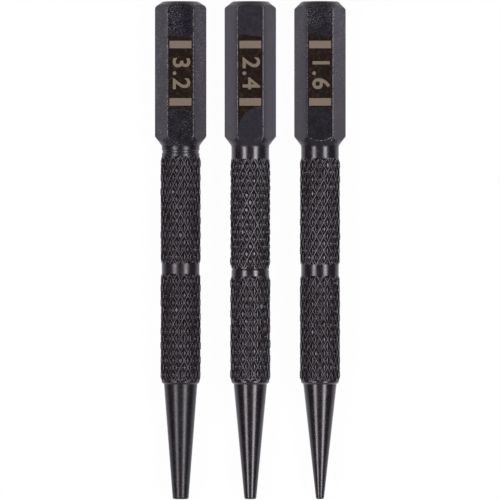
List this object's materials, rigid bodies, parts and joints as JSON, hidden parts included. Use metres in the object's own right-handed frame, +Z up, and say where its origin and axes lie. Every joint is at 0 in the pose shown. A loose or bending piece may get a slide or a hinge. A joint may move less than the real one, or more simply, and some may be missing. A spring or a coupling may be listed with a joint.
{
  "type": "center punch set",
  "caption": "Set of slim steel punches with hexagonal striking heads, double knurled grips and tapered blunt tips in graded sizes.",
  "frame": {"origin": "centre of the set's footprint, on the surface that the punches lie on", "axes": "+Y along the punches towards their striking faces, +X from the large punch to the small one, +Z up"},
  "size_m": [0.0384, 0.1, 0.009],
  "materials": {
    "blackened_steel": "satin"
  },
  "bodies": {
    "medium_punch": {"medium_punch": "blackened_steel"},
    "large_punch": {"large_punch": "blackened_steel"},
    "small_punch": {"small_punch": "blackened_steel"}
  },
  "joints": [
    {"name": "large_lift", "type": "slide", "parent": "medium_punch", "child": "large_punch", "axis": [0, 0, 1], "range_m": [0, 0.05]},
    {"name": "small_lift", "type": "slide", "parent": "medium_punch", "child": "small_punch", "axis": [0, 0, 1], "range_m": [0, 0.05]}
  ]
}
